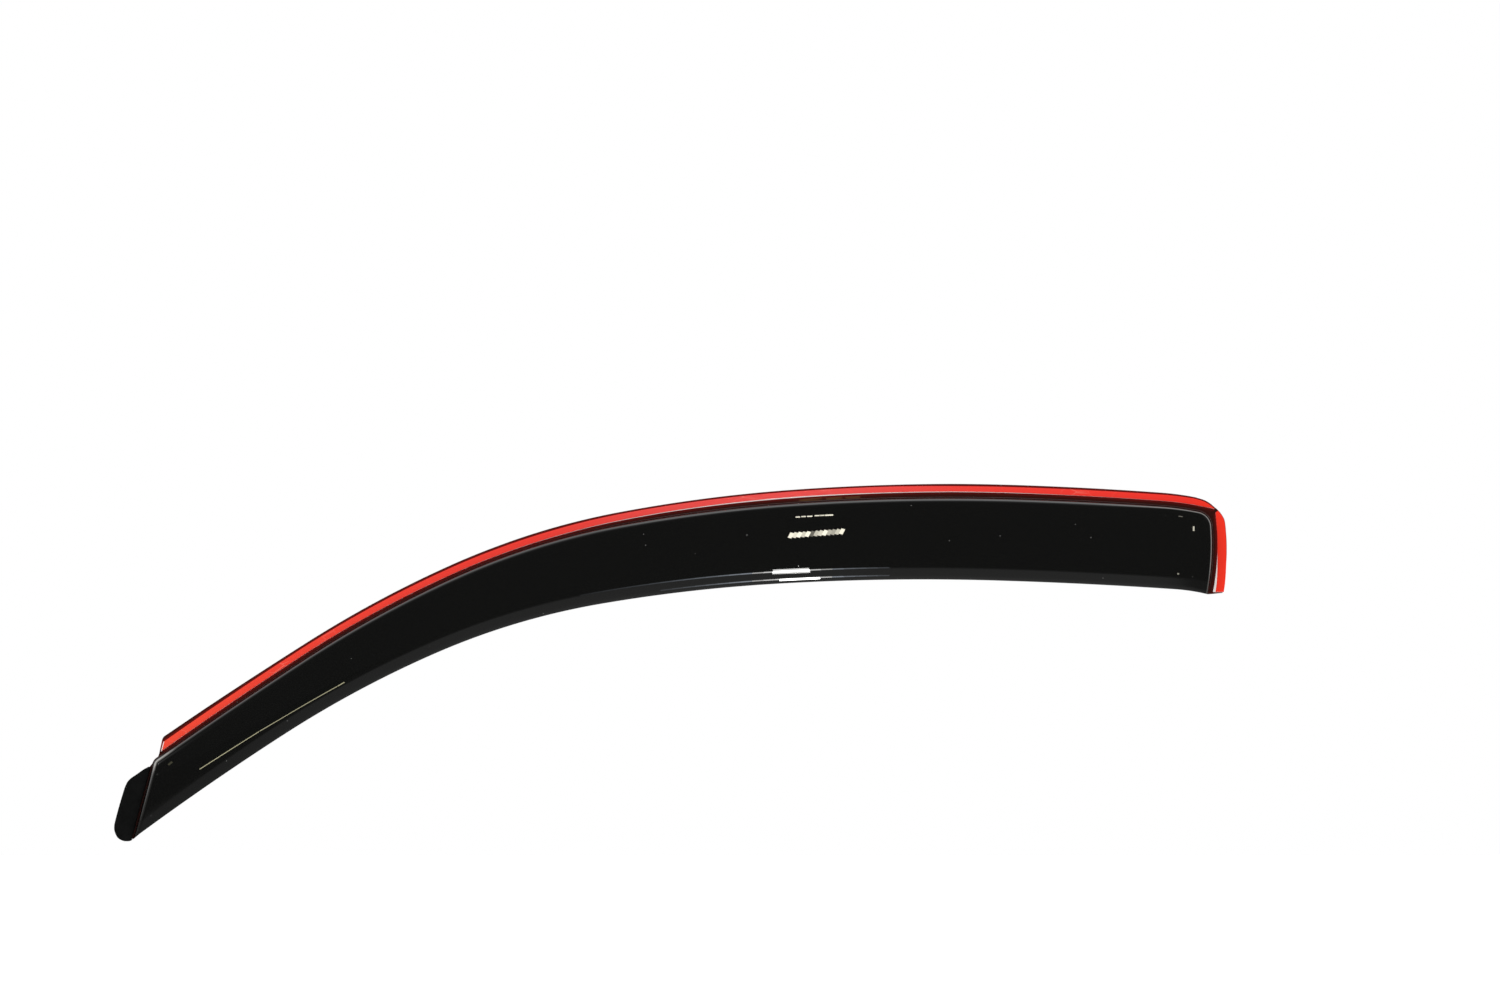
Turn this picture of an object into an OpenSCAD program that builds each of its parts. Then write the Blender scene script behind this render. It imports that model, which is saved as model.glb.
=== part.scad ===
// Window rain deflector for the left front door: a glossy raised panel on a bonding flange.
// X runs toward the rear of the car, -Y is the outer face, +Z is up.
// The origin is on the bonding face of the top tape, half way along it.

/* [Panel outline] */
// Length of the front edge, from the lower tip up to the front corner
front_edge = 68.5; // [50:0.5:80]
// Rake of the front edge above the horizontal
front_rake = 75; // [65:0.5:88]
// Radius of the front corner of the panel line
front_corner_r = 8; // [5:0.5:15]
// Slope of the top line where it leaves the front corner
front_slope = 35; // [30:0.25:40]
// Lengths of the arcs of the top line, front to rear
top_lengths = [158, 150, 150, 150, 200, 124, 34];
// Fall of each arc of the top line, in degrees
top_turns = [2, 8.75, 13.75, 6.5, 5.75, 2.25, 7.5];
// Radius of the rear corner of the panel line
rear_corner_r = 15; // [12:0.5:25]
// Turn of the rear corner
rear_corner_turn = 74; // [70:0.5:88]
// Length of the rear edge
rear_edge = 60; // [30:1:70]
// Turn of the rear edge along its length
rear_edge_turn = 16.5; // [0:0.5:20]
// Start of the lower edge from the lower front tip, along X and Z
low_start = [5.8, 4.8];
// Slope of the lower edge at its front end
low_slope = 36.25; // [30:0.25:42]
// Lengths of the arcs of the lower edge, front to rear
low_lengths = [155, 150, 150, 150, 200, 153, 25.5];
// Fall of each arc of the lower edge, in degrees
low_turns = [3.5, 9.25, 13.75, 6.25, 5.25, 2, 9.5];
// Rise of the front edge's lower end toward the panel, as a share of the distance inward
front_trim = 1.4; // [0:0.1:2]
// Rise of the rear flange's lower end toward its outer side, as a share of its width
rear_trim = 0.3; // [0:0.05:0.5]

/* [Section] */
// Wall thickness
wall_t = 2.5; // [2:0.1:3.5]
// Places along the top line, from the front corner, at which the flange's width is set
flange_at = [0, 60, 160, 350, 750, 940, 985, 1000, 1015];
// Width of the bonding flange outside the panel line at each of those places
flange_w = [12.4, 12, 10.9, 10.3, 11.7, 11.2, 11.6, 12, 12.2];
// Places along the rear corner, from its start, at which the flange's outer corner is cut back
cut_at = [-26, -6, 0, 8, 12, 16.5];
// How far the outer corner is cut back at each of those places
cut_w = [0, 0.3, 0.9, 2, 1.1, 0];
// Rise of the panel over the flange at the front end
rise_front = 6.5; // [6:0.5:10]
// Rise of the panel over the flange along the middle and the rear
rise_rear = 9; // [7:0.5:14]
// Extra rise of the lower edge over the top of the panel
lean = 1; // [0:0.25:3]
// Crown of the panel between its top and its lower edge
crown = 1.5; // [0.5:0.25:3]
// Slope of the step between flange and panel
step_angle = 82; // [70:1:86]
// Fillet at the foot of the step
foot_r = 0.6; // [0.4:0.1:2]
// Outside fillet at the top of the step
brow_r = 4; // [2.8:0.1:4.5]
// Rounding of the flange's outer edge
edge_round = 0.5; // [0.3:0.1:0.8]
// Vertical bow, the radius of the door glass seen from the front
glass_r = 1400; // [1000:50:3000]
// Lengthwise bow, the radius of the door glass seen from above
plan_r = 12000; // [6000:500:30000]

/* [Lower lip] */
// Heights above the lower edge at which the lip profile is set
lip_at = [14, 12, 11, 10.2, 9.2, 6.5, 4.2, 3.2, 2.2, 1, 0];
// Drop of the lip below the panel at each of those heights
lip_drop = [0, 0, 0.1, 0.35, 0.75, 1.5, 2.3, 2.7, 3.3, 4.2, 5.4];
// Share of the drop that is left at the front end
lip_front = 0.3; // [0.2:0.05:1]
// Share of the drop that is left at the rear wall
lip_rear = 0.4; // [0.2:0.05:1]

/* [Front tab] */
// Places along the front edge at which the tab's width is set
tab_at = [0, 4, 9, 16, 40, 46, 50, 56, 62, 65, 68];
// Width of the tab at each of those places
tab_w = [14.8, 17.5, 18.8, 18.9, 18.2, 17.3, 15.4, 10.6, 5.6, 2.4, 0.8];
// Gap between the front wall and the pad
pad_gap = 1.4; // [0.5:0.1:3]
// Thickness of the pad
pad_t = 1.6; // [1:0.1:3]
// Places along the front edge at which the pad's width is set
pad_at = [-3.8, -3.4, -2.7, -1.9, -0.9, 0, 4, 9, 16, 40, 46, 50, 56, 62, 65];
// Width of the pad at each of those places, from the panel line
pad_w = [9, 11.2, 13, 14.2, 15.2, 16, 18.4, 19.7, 19.8, 19.1, 18.3, 16.4, 11.5, 6.4, 3.2];
// Places below the front edge at which the pad's rounded toe is set
toe_at = [-3.8, -3.4, -2.7, -1.9, -0.9];
// Distance of the toe's inner side from the panel line at each of those places
toe_in = [7, 5.2, 3, 1.7, 0.6];

/* [Tapes] */
// Width of the top tape
tape_w = 6; // [5:0.5:10]
// Width of the rear tape at its lower end
rear_tape_w = 8; // [5:0.5:10]
// Margin of bare flange outside the top tape
tape_margin = 1.1; // [0.8:0.1:2.5]
// Extra margin at the top tape's front end
tape_drift = 1.8; // [0:0.1:3]
// Length over which the extra margin fades out
drift_run = 160; // [50:10:300]
// Margin of bare flange outside the rear tape
rear_margin = 0.4; // [0.2:0.1:2.5]
// Places of the top tape's front end past the front corner, outer and inner side
tape_start = [13, 6.5];
// Share of the rear corner that the top tape goes round
top_tape_end = 0.47; // [0.2:0.01:0.5]
// Share of the rear corner at which the rear tape begins
rear_tape_start = 0.57; // [0.5:0.01:0.9]
// Thickness of the foam tape
foam_t = 1.1; // [0.8:0.1:2]
// Thickness of the red liner
liner_t = 0.25; // [0.2:0.05:0.5]
// Foam left bare at the front end of the top liner
bare_end = 1.2; // [0:0.1:3]
// Foam left bare beside the lower end of the rear liner
bare_side = 2.2; // [0:0.1:3]

/* [Finish] */
// Columns of facets along the top line
run_n = 50; // [24:2:80]
// Rows of facets between the corner and the lip
mid_n = 4; // [2:1:8]

/* [Hidden] */

smoke = [0.05, 0.05, 0.05];
red = [0.85, 0.16, 0.12];
white = [0.92, 0.9, 0.86];
matte = [0.1, 0.1, 0.1];

function rad(a) = a * PI / 180;
function mix(a, b, f) = a + (b - a) * f;
function ease(f) = let(c = min(max(f, 0), 1)) c * c * (3 - 2 * c);
function total(v) = v * [for (x = v) 1];
function table(x, at, val) = lookup(x, [for (i = [0 : len(at) - 1]) [at[i], val[i]]]);

// One arc: its chord, from a heading, a length and a fall in degrees.
function chord(head, l, fall) =
    (fall == 0 ? l : 2 * l / rad(fall) * sin(fall / 2)) * [cos(head - fall / 2), sin(head - fall / 2)];
// Where each arc of a chain starts: X, Z and heading.
function starts(p, head, l, fall, i = 0) = i == len(l) ? [] :
    concat([[p[0], p[1], head]], starts(p + chord(head, l[i], fall[i]), head - fall[i], l, fall, i + 1));
// The point and heading at a distance along a chain.
function along(ch, l, fall, s, i = 0) = i < len(l) - 1 && s > l[i] ? along(ch, l, fall, s - l[i], i + 1) :
    let(f = fall[i] * s / l[i], c = chord(ch[i][2], s, f)) [ch[i][0] + c[0], ch[i][1] + c[1], ch[i][2] - f];

front_turn = front_rake - front_slope;
front_arc = front_corner_r * rad(front_turn);
rear_arc = rear_corner_r * rad(rear_corner_turn);
line_l = concat([front_edge, front_arc], top_lengths, [rear_arc, rear_edge]);
line_turn = concat([0, front_turn], top_turns, [rear_corner_turn, rear_edge_turn]);
line_raw = starts([0, 0], front_rake, line_l, line_turn);

top_s = front_edge + front_arc;
corner_s = top_s + total(top_lengths);
rear_s = corner_s + rear_arc;
end_s = rear_s + rear_edge;
front_mid = front_edge + front_arc / 2;
rear_mid = corner_s + rear_arc / 2;
home_s = top_s + 505;

home_raw = along(line_raw, line_l, line_turn, home_s);
home_d = tape_margin + tape_w / 2 - flange(home_s);
home = [home_raw[0] + home_d * sin(home_raw[2]), home_raw[1] - home_d * cos(home_raw[2])];
line = [for (p = line_raw) [p[0] - home[0], p[1] - home[1], p[2]]];
low = starts(low_start - home, low_slope, low_lengths, low_turns);
low_end = total(low_lengths);
bow_z = -140;

// A point of the panel line, moved inward by d, at height h over the flange.
function bow(x, z) = x * x / (2 * plan_r) + pow(z - bow_z, 2) / (2 * glass_r) - pow(bow_z, 2) / (2 * glass_r);
function seat(x, z, h) = [x, foam_t - h + bow(x, z), z];
function trim(s, d) =
    s + front_trim * max(0, d) * ease(1 - s / 25) + rear_trim * min(0, d) * ease((s - end_s) / 25 + 1);
function flat(s, d) =
    let(p = along(line, line_l, line_turn, trim(s, d))) [p[0] + d * sin(p[2]), p[1] - d * cos(p[2])];
function on(s, d, h) = let(p = flat(s, d)) seat(p[0], p[1], h);

// Width of the flange: the front tab, the slanted front end, then the full flange.
end_from = top_s + 2.5;
end_run = 14.5;
function flange(s) = table(s - top_s, flange_at, flange_w);
function cut_back(s) = table(s - corner_s, cut_at, cut_w);
function slant(f) = f < 0.7 ? f / 0.85 : 1 - pow(1 - f, 2) / 0.51;
function reach(s) = s < end_from ? table(s, tab_at, tab_w) :
    mix(tab_w[len(tab_w) - 1], flange(s) - cut_back(s), slant(min(1, (s - end_from) / end_run)));

// Stations: up the front edge, along the top line, down the rear edge.
corner_n = 4;
lip_n = len(lip_at);
rows = corner_n + mid_n + lip_n;
front_meet = sin(front_rake - low_slope);
rear_meet = sin(low_slope - total(low_turns) - (front_rake - total(line_turn)));
function side(j, a, b, meet) = j <= corner_n ? undef :
    j <= corner_n + mid_n ? mix(a, b + sign(a - b) * lip_at[0] / meet, (j - corner_n) / (mid_n + 1)) :
    b + sign(a - b) * lip_at[j - corner_n - mid_n - 1] / meet;
front_at = [for (j = [0 : rows])
    j <= corner_n ? front_mid - front_arc / 2 * j / corner_n : side(j, front_edge, 0, front_meet)];
rear_at = [for (j = [0 : rows])
    j <= corner_n ? rear_mid + rear_arc / 2 * j / corner_n : side(j, rear_s, end_s, rear_meet)];
top_at = concat([front_mid, front_mid + front_arc / 4, top_s],
    [for (a = [2.5, 4, 6, 8, 10, 12, 14, 16, 18, 22, 27]) top_s + a],
    [for (i = [1 : run_n]) mix(top_s + 27, corner_s, i / run_n)],
    [for (j = [1 : corner_n]) mix(corner_s, rear_mid, j / corner_n)]);
cols = len(top_at) - 1;
stations = concat([for (j = [rows : -1 : 1]) front_at[j]], top_at, [for (j = [1 : rows]) rear_at[j]]);
n = len(stations);

// Panel rows and heights: u runs front to rear, f runs from the top to the lower edge.
u_at = [for (s = top_at) (s - front_mid) / (rear_mid - front_mid)];
low_at = [for (u = u_at) along(low, low_lengths, low_turns, u * low_end)];
head_at = [for (s = top_at) flat(s, 3.5)];
depth_at = [for (i = [0 : cols])
    let(v = [low_at[i][0], low_at[i][1]] - head_at[i]) norm(v) * sin(low_at[i][2] - atan2(v[1], v[0]))];
function share(i, j) = j <= corner_n ? 0.1 * j / corner_n :
    let(lip = 1 - lip_at[max(0, j - corner_n - mid_n - 1)] / depth_at[i])
    j <= corner_n + mid_n ? mix(0.1, lip, (j - corner_n) / (mid_n + 1)) : lip;
function lip_share(u) = min(mix(lip_front, 1, ease(u / 0.3)), mix(lip_rear, 1, ease((1 - u) / 0.05)));
function drop(j) = j <= corner_n + mid_n ? 0 : lip_drop[j - corner_n - mid_n - 1];
function height(i, j) = let(u = u_at[i], f = share(i, j))
    mix(rise_front, rise_rear, ease(u * 2)) + lean * f + 4 * crown * f * (1 - f) - drop(j) * lip_share(u);

// Section of the step at one station: pairs of [d, h, slope] from the flange's edge to the brow.
top_tilt = atan((lean + 4 * crown) / 65);
function brow_height(c) = c < rows ? height(0, rows - c) :
    c <= rows + cols ? height(c - rows, 0) : height(cols, c - rows - cols);
function brow_tilt(s) = top_tilt * min(ease((s - front_edge) / front_arc), ease((rear_s - s) / rear_arc));
function section(w, top, tilt) =
    let(b = step_angle, d0 = -foot_r * tan(b / 2), h1 = top - brow_r * (cos(tilt) - cos(b)),
        foot = [d0 + foot_r * sin(b), foot_r * (1 - cos(b))], d1 = foot[0] + (h1 - foot[1]) / tan(b))
    concat([for (e = [0, 0.05, 0.3, 0.65]) [-w + e * (w + d0), e == 0 ? -edge_round : 0, 0]],
        [for (k = [0 : 3]) [d0 + foot_r * sin(b * k / 3), foot_r * (1 - cos(b * k / 3)), b * k / 3]],
        [for (k = [0 : 5]) let(a = mix(b, tilt, k / 5))
            [d1 + brow_r * (sin(b) - sin(a)), h1 + brow_r * (cos(a) - cos(b)), a]]);
m = 14;

function outer_point(s, q) = on(s, q[0], q[1]);
function inner_point(s, q) = q[1] < 0 ? on(s, q[0], edge_round - wall_t) :
    on(s, q[0] + wall_t * sin(q[2]), q[1] - wall_t * cos(q[2]));
sections = [for (c = [0 : n - 1]) section(reach(stations[c]), brow_height(c), brow_tilt(stations[c]))];
brow = [for (c = [0 : n - 1]) flat(stations[c], sections[c][m - 1][0])];

// The panel inside the brow: a ruled patch, pulled onto the brow line at both ends.
function ring(i, j) = j == 0 ? rows + i : i == 0 ? rows - j : rows + cols + j;
function patch_flat(i, j) =
    let(f = share(i, j), u = u_at[i], t = brow[rows + i], b = [low_at[i][0], low_at[i][1]],
        fa = share(0, j), fb = share(cols, j),
        a0 = brow[ring(0, j)] - mix(brow[rows], [low_at[0][0], low_at[0][1]], fa),
        b0 = brow[ring(cols, j)] - mix(brow[rows + cols], [low_at[cols][0], low_at[cols][1]], fb))
    mix(t, b, f) + pow(1 - u, 12) * a0 + pow(u, 12) * b0;
function patch(h) = [for (i = [1 : cols - 1]) for (j = [1 : rows])
    let(p = patch_flat(i, j)) seat(p[0], p[1], height(i, j) - h)];

shell_points = concat(
    [for (c = [0 : n - 1]) for (q = sections[c]) outer_point(stations[c], q)],
    [for (c = [0 : n - 1]) for (q = sections[c]) inner_point(stations[c], q)],
    patch(0), patch(wall_t));
function strip_i(c, r, back) = back * n * m + c * m + r;
function panel_i(i, j, back) = j == 0 || i == 0 || i == cols ? strip_i(ring(i, j), m - 1, back) :
    2 * n * m + back * (cols - 1) * rows + (i - 1) * rows + j - 1;
function quad(a, b, c, d) = [[a, c, b], [a, d, c]];
function flip(f) = [f[2], f[1], f[0]];

function strip_quad(c, r, back) =
    quad(strip_i(c, r, back), strip_i(c, r + 1, back), strip_i(c + 1, r + 1, back), strip_i(c + 1, r, back));
function panel_quad(i, j, back) =
    quad(panel_i(i, j, back), panel_i(i, j + 1, back), panel_i(i + 1, j + 1, back), panel_i(i + 1, j, back));
// The rim between the outer and the inner side.
function strip_rim(c, r, c2, r2) =
    quad(strip_i(c, r, 0), strip_i(c, r, 1), strip_i(c2, r2, 1), strip_i(c2, r2, 0));

shell_faces = concat(
    [for (c = [0 : n - 2]) for (r = [0 : m - 2]) each strip_quad(c, r, 0)],
    [for (c = [0 : n - 2]) for (r = [0 : m - 2]) for (f = strip_quad(c, r, 1)) flip(f)],
    [for (i = [0 : cols - 1]) for (j = [0 : rows - 1]) each panel_quad(i, j, 0)],
    [for (i = [0 : cols - 1]) for (j = [0 : rows - 1]) for (f = panel_quad(i, j, 1)) flip(f)],
    [for (c = [0 : n - 2]) each strip_rim(c + 1, 0, c, 0)],
    [for (r = [0 : m - 2]) each strip_rim(0, r, 0, r + 1)],
    [for (r = [0 : m - 2]) each strip_rim(n - 1, r + 1, n - 1, r)],
    [for (i = [0 : cols - 1]) each
        quad(panel_i(i, rows, 0), panel_i(i, rows, 1), panel_i(i + 1, rows, 1), panel_i(i + 1, rows, 0))]);

// A flat strip that follows the flange: pairs of stations for its outer and inner side,
// the two distances from the panel line, and the heights of its faces.
module band(outer_s, inner_s, outer_d, inner_d, h0, h1) {
    k = len(outer_s);
    polyhedron(
        points = [for (i = [0 : k - 1]) each [on(outer_s[i], outer_d[i], h0), on(outer_s[i], outer_d[i], h1),
            on(inner_s[i], inner_d[i], h1), on(inner_s[i], inner_d[i], h0)]],
        faces = concat(quad(3, 2, 1, 0), quad(4 * k - 4, 4 * k - 3, 4 * k - 2, 4 * k - 1),
            [for (i = [0 : k - 2]) for (e = [0 : 3]) each
                quad(4 * i + e, 4 * i + (e + 1) % 4, 4 * i + 4 + (e + 1) % 4, 4 * i + 4 + e)]));
}

function inside(a, b) = [for (s = stations) if (s > a + 0.5 && s < b - 0.5) s];
function top_line_d(s) = tape_margin + tape_drift * max(0, 1 - (s - top_s) / drift_run) - flange(s);
function top_outer_d(s) = top_line_d(s) + cut_back(s);
function rear_outer_d(s) = rear_margin - flange(s) + cut_back(s);
// The strips are cut straight, so their inner sides leave the corner on a tangent.
function tangent(d, past) = past <= 0 ? d : rear_corner_r - (rear_corner_r - d) / cos(past);
function top_inner_d(s) = tangent(top_line_d(s) + tape_w, (s - corner_s) / rear_arc * rear_corner_turn);
function rear_inner_d(s) =
    tangent(rear_margin - flange(end_s) + rear_tape_w, (rear_s - s) / rear_arc * rear_corner_turn);
function lower_end(s) = ease((s - rear_s) / rear_edge);

module top_band(cut, h0, h1) {
    a = [for (f = tape_start) top_s + f + cut];
    z = corner_s + rear_arc * top_tape_end;
    mids = inside(a[0], z);
    outer = concat([a[0]], mids, [z]);
    inner = concat([a[1]], mids, [z]);
    band(outer, inner, [for (s = outer) top_outer_d(s)], [for (s = inner) top_inner_d(s)], h0, h1);
}

module rear_band(shift, h0, h1) {
    a = corner_s + rear_arc * rear_tape_start;
    mids = inside(a, end_s - 2);
    outer = concat([a], mids, [end_s - 0.6]);
    inner = concat([a], mids, [end_s - 1.6]);
    band(outer, inner, [for (s = outer) rear_outer_d(s) - shift * 0.6 * lower_end(s)],
        [for (s = inner) rear_inner_d(s) - shift * lower_end(s)], h0, h1);
}

module visor_shell() color(smoke) polyhedron(points = shell_points, faces = shell_faces, convexity = 6);
module top_foam_tape() color(white) top_band(0, 0, foam_t);
module top_red_liner() color(red) top_band(bare_end, foam_t, foam_t + liner_t);
module rear_foam_tape() color(white) rear_band(0, 0, foam_t);
module rear_red_liner() color(red) rear_band(bare_side, foam_t, foam_t + liner_t);
module front_tab_pad() {
    up = [for (j = [rows : -1 : corner_n + 1]) if (front_at[j] < 63) front_at[j]];
    s = concat(toe_at, up, [65]);
    color(matte) band(s, s, [for (x = s) -table(x, pad_at, pad_w)],
        concat([for (x = toe_in) -x], [for (x = concat(up, [65])) -pad_gap]), 0, pad_t);
}

visor_shell();
top_foam_tape();
top_red_liner();
rear_foam_tape();
rear_red_liner();
front_tab_pad();
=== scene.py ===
import math
import bpy
from mathutils import Matrix, Vector
from mathutils.bvhtree import BVHTree
from mathutils.interpolate import poly_3d_calc


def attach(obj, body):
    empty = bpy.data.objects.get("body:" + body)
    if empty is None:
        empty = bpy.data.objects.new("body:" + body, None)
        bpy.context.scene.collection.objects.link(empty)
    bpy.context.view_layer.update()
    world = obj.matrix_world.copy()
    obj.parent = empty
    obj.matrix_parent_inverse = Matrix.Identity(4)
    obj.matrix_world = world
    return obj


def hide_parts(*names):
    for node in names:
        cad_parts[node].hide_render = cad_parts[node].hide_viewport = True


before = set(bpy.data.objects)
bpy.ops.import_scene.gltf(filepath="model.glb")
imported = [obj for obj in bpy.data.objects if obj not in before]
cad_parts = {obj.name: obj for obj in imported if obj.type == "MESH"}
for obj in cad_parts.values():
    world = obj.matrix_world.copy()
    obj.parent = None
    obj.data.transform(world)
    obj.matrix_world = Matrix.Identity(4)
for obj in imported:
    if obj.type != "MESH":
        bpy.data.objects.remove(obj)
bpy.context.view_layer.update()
print("frame loaded")

# Camera first: straight on to the outer face, a little right of the part and level with its top.

cameraView = {
    "place": (0.0682, -10, 0.0065),
    "lens": 274.5,
    "sensor": 36.0,
    "farClip": 40.0,
}


def makeCamera(view):
    data = bpy.data.cameras.new("photoCamera")
    data.lens = view["lens"]
    data.sensor_width = view["sensor"]
    data.clip_end = view["farClip"]
    cam = bpy.data.objects.new("photoCamera", data)
    cam.location = view["place"]
    cam.rotation_euler = (math.radians(90), 0, 0)
    bpy.context.scene.collection.objects.link(cam)
    bpy.context.scene.camera = cam


makeCamera(cameraView)
print("camera placed")

# The panel line and the lower edge, as chains of tangent arcs. Lengths in mm, turns in degrees.

outline = {
    "frontEdge": 68.5,
    "frontRake": 75,
    "frontCornerR": 8,
    "frontSlope": 35,
    "topLengths": [158, 150, 150, 150, 200, 124, 34],
    "topTurns": [2, 8.75, 13.75, 6.5, 5.75, 2.25, 7.5],
    "rearCornerR": 15,
    "rearCornerTurn": 74,
    "rearEdge": 60,
    "rearEdgeTurn": 16.5,
    "lowStart": (5.8, 4.8),
    "lowSlope": 36.25,
    "lowLengths": [155, 150, 150, 150, 200, 153, 25.5],
    "lowTurns": [3.5, 9.25, 13.75, 6.25, 5.25, 2, 9.5],
    "frontTrim": 1.4,
    "rearTrim": 0.3,
    "trimFade": 25,
    "homeAt": 505,
    "glassR": 1400,
    "planR": 12000,
    "bowZ": -140,
}


def mix(a, b, f):
    return a + (b - a) * f


def ease(f):
    c = min(max(f, 0), 1)
    return c * c * (3 - 2 * c)


def lookUp(x, table):
    if x <= table[0][0]:
        return table[0][1]
    for (xa, ya), (xb, yb) in zip(table, table[1:]):
        if x <= xb:
            return mix(ya, yb, (x - xa) / (xb - xa))
    return table[-1][1]


def smoothLookUp(x, table):
    # a cubic through the table whose slopes never overshoot it
    if x <= table[0][0]:
        return table[0][1]
    if x >= table[-1][0]:
        return table[-1][1]
    steps = [(b[1] - a[1]) / (b[0] - a[0]) for a, b in zip(table, table[1:])]
    between = [0 if a * b <= 0 else 2 * a * b / (a + b) for a, b in zip(steps, steps[1:])]
    slopes = [steps[0]] + between + [steps[-1]]
    for k, (a, b) in enumerate(zip(table, table[1:])):
        if x <= b[0]:
            w = b[0] - a[0]
            t = (x - a[0]) / w
            return ((2 * t**3 - 3 * t**2 + 1) * a[1] + (t**3 - 2 * t**2 + t) * w * slopes[k]
                    + (3 * t**2 - 2 * t**3) * b[1] + (t**3 - t**2) * w * slopes[k + 1])


def ladder(a, b, step):
    # even places from a to b, about a step apart
    count = max(2, round((b - a) / step))
    return [mix(a, b, k / count) for k in range(count + 1)]


def arcChord(head, length, fall):
    turn = math.radians(fall)
    reach = length if fall == 0 else 2 * length / turn * math.sin(turn / 2)
    way = math.radians(head - fall / 2)
    return reach * math.cos(way), reach * math.sin(way)


class ArcChain:
    # at(s) gives the point and the heading at a distance along the arcs
    def __init__(self, start, head, lengths, turns):
        self.lengths, self.turns, self.starts = lengths, turns, []
        x, z = start
        for length, fall in zip(lengths, turns):
            self.starts.append((x, z, head))
            dx, dz = arcChord(head, length, fall)
            x, z, head = x + dx, z + dz, head - fall

    def at(self, s):
        k = 0
        while k < len(self.lengths) - 1 and s > self.lengths[k]:
            s -= self.lengths[k]
            k += 1
        fall = self.turns[k] * s / self.lengths[k]
        x, z, head = self.starts[k]
        dx, dz = arcChord(head, s, fall)
        return x + dx, z + dz, head - fall


frontTurn = outline["frontRake"] - outline["frontSlope"]
frontArc = outline["frontCornerR"] * math.radians(frontTurn)
rearArc = outline["rearCornerR"] * math.radians(outline["rearCornerTurn"])
lineLengths = [outline["frontEdge"], frontArc] + outline["topLengths"] + [rearArc, outline["rearEdge"]]
lineTurns = [0, frontTurn] + outline["topTurns"] + [outline["rearCornerTurn"], outline["rearEdgeTurn"]]
topS = outline["frontEdge"] + frontArc
cornerS = topS + sum(outline["topLengths"])
rearS = cornerS + rearArc
endS = rearS + outline["rearEdge"]
frontMid = outline["frontEdge"] + frontArc / 2
rearMid = cornerS + rearArc / 2

shellSection = {
    "wall": 2.5,
    "flange": [(0, 12.4), (60, 12), (160, 10.9), (350, 10.3), (750, 11.7), (940, 11.2), (985, 11.6),
               (1000, 12), (1015, 12.2)],
    "cornerCut": [(-26, 0), (-6, 0.3), (0, 0.9), (8, 2), (12, 1.1), (16.5, 0)],
    "riseFront": 6.5,
    "riseRear": 9,
    "riseShare": 0.5,  # of the panel's length, over which the rise grows
    "lean": 1,
    "crown": 1.5,
    "panelDepth": 65,
    "panelInset": 3.5,
    "endPull": 12,  # how soon the panel leaves the lines of its two ends
    "stepAngle": 82,
    "footR": 0.6,
    "brow": [(-85, 4), (-25, 2.2), (-5, 1.8)],
    "edgeRound": 0.2,
    "edgeShare": 0.05,
    "lip": [(0, 5.4), (1, 4.15), (2.2, 3.25), (3.2, 2.7), (4.2, 2.3), (6.5, 1.447), (9.2, 0.445),
            (9.6, 0.297), (10, 0.167), (10.4, 0.074), (10.8, 0.019), (11.2, 0), (14, 0)],
    # the share of the lip's drop at an end, and the share of the length over which it grows to all
    "lipFront": (0.3, 0.3),
    "lipRear": (0.4, 0.05),
    "tab": [(0, 14.8), (4, 17.5), (9, 18.8), (16, 18.9), (40, 18.2), (46, 17.3), (50, 15.4),
            (56, 10.6), (62, 5.6), (65, 2.4), (68, 0.8)],
    # the flange's cut front end: where it starts, how long it is, and where its slope rounds over
    "endFrom": 2.5,
    "endRun": 14.5,
    "endBend": 0.7,
}

tape = {
    "width": 6,
    "rearWidth": 8,
    "margin": 1.1,
    "rearMargin": 0.4,
    "drift": 1.8,
    "driftRun": 160,
    "start": (13, 6.5),
    "topEnd": 0.47,
    "endSlant": 0.15,
    "rearStart": 0.57,
    "rearCut": (0.6, 1.6),
    "foam": 1.1,
    "liner": 0.25,
    # where the foam shows beside the liner: at the front end, and down the rear strip
    "bareEnd": 1.2,
    "bareSide": 2.2,
    "bareFrom": 18,
    "outerShare": 0.6,
    # how far the tape's two sides lie inward of their ideal lines, by place along it
    "outerIn": [(0, 1.0), (120, 0.9), (180, 1.1), (400, 1.1), (470, 0.6), (700, 0.5), (750, 0.9),
                (920, 0.7), (955, 0.4), (970, 0.1)],
    "innerIn": [(0, 0.6), (120, 0.4), (330, 0.7), (400, 0.9), (450, 0.5), (500, 0.1)],
}


def flangeAt(s):
    return lookUp(s - topS, shellSection["flange"])


def cutAt(s):
    return lookUp(s - cornerS, shellSection["cornerCut"])


# the frame's origin lies on the top tape's centre line, so both lines are moved there
rawLine = ArcChain((0, 0), outline["frontRake"], lineLengths, lineTurns)
homeS = topS + outline["homeAt"]
homeX, homeZ, homeHead = rawLine.at(homeS)
homeWay = math.radians(homeHead)
homeD = tape["margin"] + tape["width"] / 2 - flangeAt(homeS)
home = (homeX + homeD * math.sin(homeWay), homeZ - homeD * math.cos(homeWay))
lowStart = (outline["lowStart"][0] - home[0], outline["lowStart"][1] - home[1])
panelLine = ArcChain((-home[0], -home[1]), outline["frontRake"], lineLengths, lineTurns)
lowEdge = ArcChain(lowStart, outline["lowSlope"], outline["lowLengths"], outline["lowTurns"])
lowEnd = sum(outline["lowLengths"])


def bow(x, z):
    zc, r = outline["bowZ"], outline["glassR"]
    return x * x / (2 * outline["planR"]) + ((z - zc) ** 2 - zc ** 2) / (2 * r)


def seat(x, z, h):
    # millimetres on the flange to metres in the frame
    return Vector((x, tape["foam"] - h + bow(x, z), z)) / 1000


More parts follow.
